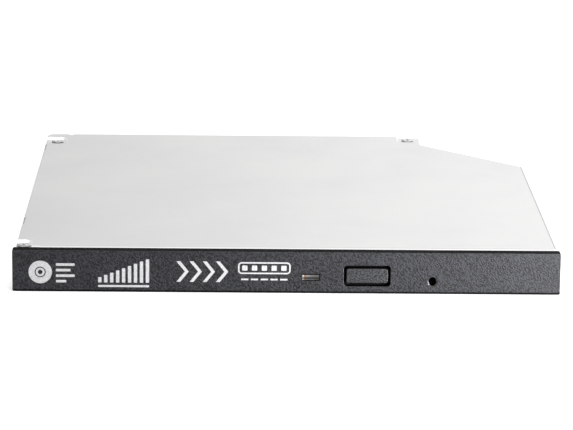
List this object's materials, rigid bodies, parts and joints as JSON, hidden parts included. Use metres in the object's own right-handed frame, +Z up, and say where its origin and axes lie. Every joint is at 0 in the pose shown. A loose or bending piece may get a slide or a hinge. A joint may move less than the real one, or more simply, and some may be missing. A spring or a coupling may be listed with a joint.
{
  "type": "internal dvd writer",
  "caption": "Slim internal tray disc writer: pressed steel case with a raised wing, moulded bezel with eject button, sliding drawer on half-travel rails, spindle and diagonal pickup sled.",
  "frame": {"origin": "bottom centre of the whole drive's box", "axes": "+X to the right of someone facing the bezel, +Y from the bezel to the rear, +Z up"},
  "size_m": [0.1292, 0.1286, 0.0101],
  "materials": {
    "case_steel": "zinc-coated sheet, matt",
    "cover_steel": "pre-coated sheet, fine matt grain",
    "frame_steel": "pressed sheet, matt",
    "rail_steel": "rolled sheet",
    "rod_steel": "ground and polished",
    "pin_steel": "polished",
    "spring_steel": "drawn wire",
    "screw_steel": "plated",
    "sled_alloy": "die cast",
    "winding_copper": "enamelled copper windings",
    "magnet_ferrite": "bonded magnet",
    "contact_gold": "gold-plated",
    "bezel_plastic": "moulded, fine eroded grain",
    "button_plastic": "moulded, fine eroded grain",
    "tray_plastic": "moulded black, fine grain",
    "guide_plastic": "natural acetal",
    "guide_clear": "clear moulded light guide",
    "lamp_resin": "diffusing resin",
    "switch_plastic": "moulded",
    "connector_plastic": "moulded",
    "board_laminate": "green solder mask",
    "cable_film": "polyimide film cable",
    "chip_resin": "moulded epoxy",
    "holder_plastic": "moulded",
    "lens_glass": "coated lens",
    "rotor_plastic": "moulded",
    "damper_rubber": "soft moulded"
  },
  "bodies": {
    "case": {"bottom_case": "case_steel", "lock_pin": "pin_steel", "top_cover": "cover_steel", "cover_screws": "screw_steel", "rail_guide_left": "guide_plastic", "rail_guide_right": "guide_plastic", "connector_board": "board_laminate", "connector_housing": "connector_plastic", "connector_contacts": "contact_gold", "flex_cable": "cable_film", "flex_loop": "cable_film"},
    "rail_left": {"slide_rail_left": "rail_steel"},
    "rail_right": {"slide_rail_right": "rail_steel"},
    "button": {"eject_button": "button_plastic"},
    "rotor": {"spindle_shaft": "rod_steel", "rotor_magnet": "magnet_ferrite", "turntable": "rotor_plastic", "turntable_rubber": "damper_rubber"},
    "ball_1": {"chuck_ball_1": "pin_steel"},
    "ball_2": {"chuck_ball_2": "pin_steel"},
    "ball_3": {"chuck_ball_3": "pin_steel"},
    "sled": {"pickup_base": "sled_alloy", "pickup_cover": "cover_steel", "laser_unit": "sled_alloy", "sled_rack": "guide_plastic"},
    "lens": {"lens_holder": "holder_plastic", "objective_lens": "lens_glass"},
    "screw": {"lead_screw": "rod_steel"},
    "hook": {"latch_hook": "guide_plastic"},
    "plunger": {"solenoid_plunger": "pin_steel"},
    "pusher": {"eject_pusher": "guide_plastic"},
    "drawer": {"front_bezel": "bezel_plastic", "light_guide": "guide_clear", "front_board": "board_laminate", "eject_switch": "switch_plastic", "lamp": "lamp_resin", "tray": "tray_plastic", "tray_bottom_cover": "case_steel", "tray_screws": "screw_steel", "main_board": "board_laminate", "board_chips": "chip_resin", "board_connectors": "connector_plastic", "traverse_frame": "frame_steel", "dampers": "damper_rubber", "damper_screws": "screw_steel", "traverse_cover": "cover_steel", "guide_rod_main": "rod_steel", "guide_rod_sub": "rod_steel", "sled_motor": "case_steel", "spindle_base": "frame_steel", "spindle_stator": "winding_copper", "solenoid": "frame_steel", "eject_spring": "spring_steel"}
  },
  "joints": [
    {"name": "drawer_slide", "type": "slide", "parent": "case", "child": "drawer", "axis": [0, -1, 0], "range_m": [0, 0.123], "deforming": ["flex_loop"]},
    {"name": "rail_left_slide", "type": "slide", "parent": "case", "child": "rail_left", "axis": [0, -1, 0], "range_m": [0, 0.0615]},
    {"name": "rail_right_slide", "type": "slide", "parent": "case", "child": "rail_right", "axis": [0, -1, 0], "range_m": [0, 0.0615]},
    {"name": "button_press", "type": "slide", "parent": "drawer", "child": "button", "axis": [0, 1, 0], "range_m": [0, 0.00045], "stiffness_N_per_m": 500},
    {"name": "rotor_spin", "type": "hinge", "parent": "drawer", "child": "rotor", "pos_m": [0, 0.0007, 0.005], "axis": [0, 0, 1], "continuous": true},
    {"name": "sled_travel", "type": "slide", "parent": "drawer", "child": "sled", "axis": [-0.7071, -0.7071, 0], "range_m": [0, 0.0333]},
    {"name": "screw_turn", "type": "hinge", "parent": "drawer", "child": "screw", "pos_m": [-0.03712, -0.0046, 0.0038], "axis": [-0.7071, -0.7071, 0], "range_deg": [0, 3997]},
    {"name": "lens_focus", "type": "slide", "parent": "sled", "child": "lens", "axis": [0, 0, 1], "range_m": [-0.0003, 0.0003], "stiffness_N_per_m": 60},
    {"name": "hook_swing", "type": "hinge", "parent": "drawer", "child": "hook", "pos_m": [0.0315, -0.0566, 0.0034], "axis": [0, 0, 1], "range_deg": [-16, 0]},
    {"name": "plunger_slide", "type": "slide", "parent": "drawer", "child": "plunger", "axis": [1, 0, 0], "range_m": [0, 0.00195]},
    {"name": "pusher_slide", "type": "slide", "parent": "drawer", "child": "pusher", "axis": [0, 1, 0], "range_m": [0, 0.011], "deforming": ["eject_spring"]},
    {"name": "ball_1_press", "type": "slide", "parent": "rotor", "child": "ball_1", "axis": [0, -1, 0], "range_m": [0, 0.0004], "stiffness_N_per_m": 200},
    {"name": "ball_2_press", "type": "slide", "parent": "rotor", "child": "ball_2", "axis": [0.866, 0.5, 0], "range_m": [0, 0.0004], "stiffness_N_per_m": 200},
    {"name": "ball_3_press", "type": "slide", "parent": "rotor", "child": "ball_3", "axis": [-0.866, 0.5, 0], "range_m": [0, 0.0004], "stiffness_N_per_m": 200}
  ],
  "couplings": [
    {"joint": "rail_left_slide", "follows": "drawer_slide", "ratio": 0.5},
    {"joint": "rail_right_slide", "follows": "drawer_slide", "ratio": 0.5},
    {"joint": "pusher_slide", "follows": "drawer_slide", "ratio": 0.088},
    {"joint": "screw_turn", "follows": "sled_travel", "rad_per_m": 2094.4},
    {"joint": "hook_swing", "follows": "plunger_slide", "rad_per_m": -143.21}
  ]
}
